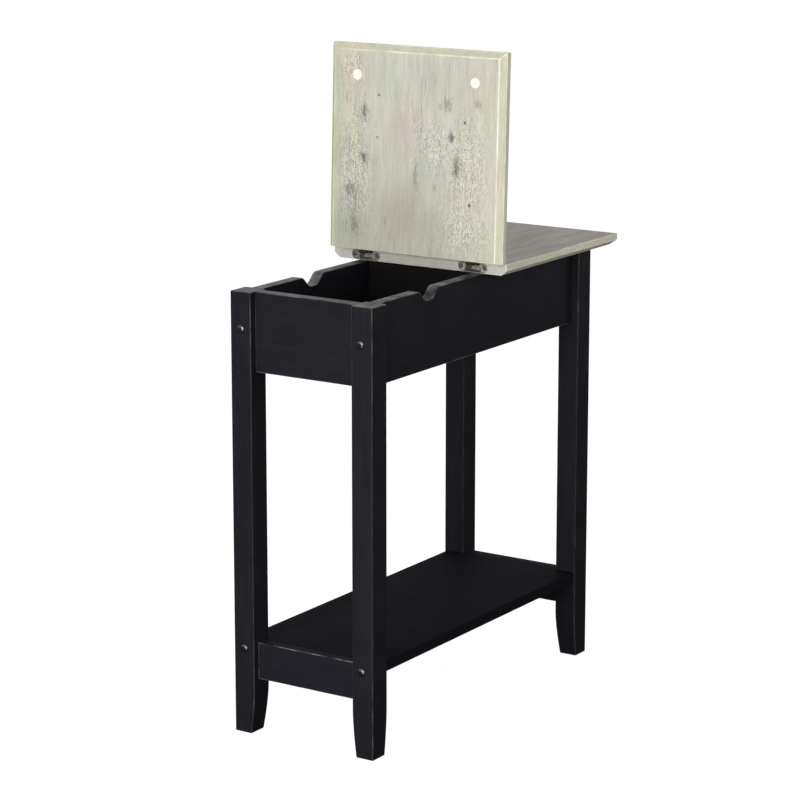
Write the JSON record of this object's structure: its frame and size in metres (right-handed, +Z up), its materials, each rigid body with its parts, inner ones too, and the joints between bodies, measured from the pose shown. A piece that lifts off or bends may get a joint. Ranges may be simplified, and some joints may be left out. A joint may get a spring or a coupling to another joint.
{
  "type": "flip-top end table",
  "caption": "Narrow side table with a fixed rear top, a hinged front lid over a shallow storage box, and a low shelf between square legs.",
  "frame": {"origin": "on the floor, at the centre of the footprint box of the table with its lid open", "axes": "+X across the table's narrow width, +Y along its length towards the fixed half of the top, +Z up"},
  "size_m": [0.277, 0.5844, 0.8961],
  "materials": {
    "grey_oak_top": "weathered grey wood-grain laminate, satin",
    "black_lacquer": "satin black painted wood",
    "black_inner": "flat black painted wood inside the box",
    "hinge_bronze": "dark bronzed steel",
    "hinge_links": "dark steel links",
    "screw_steel": "plain steel screws",
    "black_bolt": "black oxide bolts",
    "zinc_nut": "zinc cross dowels",
    "white_bumper": "off-white soft bumper"
  },
  "bodies": {
    "base": {"leg_front_left": "black_lacquer", "leg_front_right": "black_lacquer", "leg_rear_left": "black_lacquer", "leg_rear_right": "black_lacquer", "side_rail_left": "black_lacquer", "side_rail_right": "black_lacquer", "apron_front": "black_lacquer", "apron_rear": "black_lacquer", "stretcher_front": "black_lacquer", "stretcher_rear": "black_lacquer", "shelf": "black_lacquer", "box_divider": "black_inner", "box_floor": "black_inner", "floor_cleat_left": "black_inner", "floor_cleat_right": "black_inner", "top_cleat_left": "black_inner", "top_cleat_right": "black_inner", "fixed_top": "grey_oak_top", "cleat_screw_left_1": "screw_steel", "cleat_screw_left_2": "screw_steel", "cleat_screw_right_1": "screw_steel", "cleat_screw_right_2": "screw_steel", "bolt_front_left_upper": "black_bolt", "bolt_front_left_lower": "black_bolt", "bolt_front_right_upper": "black_bolt", "bolt_front_right_lower": "black_bolt", "bolt_rear_left_upper": "black_bolt", "bolt_rear_left_lower": "black_bolt", "bolt_rear_right_upper": "black_bolt", "bolt_rear_right_lower": "black_bolt", "cross_dowel_front_left_upper": "zinc_nut", "cross_dowel_front_left_lower": "zinc_nut", "cross_dowel_front_right_upper": "zinc_nut", "cross_dowel_front_right_lower": "zinc_nut", "cross_dowel_rear_left_upper": "zinc_nut", "cross_dowel_rear_left_lower": "zinc_nut", "cross_dowel_rear_right_upper": "zinc_nut", "cross_dowel_rear_right_lower": "zinc_nut", "hinge_leaf_fixed_left": "hinge_bronze", "hinge_leaf_fixed_right": "hinge_bronze", "hinge_screw_fixed_left_a": "screw_steel", "hinge_screw_fixed_left_b": "screw_steel", "hinge_screw_fixed_right_a": "screw_steel", "hinge_screw_fixed_right_b": "screw_steel"},
    "lid": {"lid": "grey_oak_top", "bumper_left": "white_bumper", "bumper_right": "white_bumper", "hinge_leaf_lid_left": "hinge_bronze", "hinge_leaf_lid_right": "hinge_bronze", "hinge_screw_lid_left_a": "screw_steel", "hinge_screw_lid_left_b": "screw_steel", "hinge_screw_lid_right_a": "screw_steel", "hinge_screw_lid_right_b": "screw_steel"},
    "links_fixed": {"link_fixed_left": "hinge_links", "link_fixed_right": "hinge_links"},
    "links_lid": {"link_lid_left": "hinge_links", "link_lid_right": "hinge_links"}
  },
  "joints": [
    {"name": "lid_hinge", "type": "hinge", "parent": "base", "child": "lid", "pos_m": [0, -0.0113, 0.6155], "axis": [-1, 0, 0], "range_deg": [-91.7, 0]},
    {"name": "links_fixed_turn", "type": "hinge", "parent": "base", "child": "links_fixed", "pos_m": [0, -0.0063, 0.6111], "axis": [-1, 0, 0], "range_deg": [-59, 0]},
    {"name": "links_lid_turn", "type": "hinge", "parent": "lid", "child": "links_lid", "pos_m": [0, -0.01552, 0.62065], "axis": [-1, 0, 0], "range_deg": [0, 59]}
  ],
  "couplings": [
    {"joint": "links_fixed_turn", "follows": "lid_hinge", "ratio": 0.64},
    {"joint": "links_lid_turn", "follows": "lid_hinge", "ratio": -0.64}
  ]
}
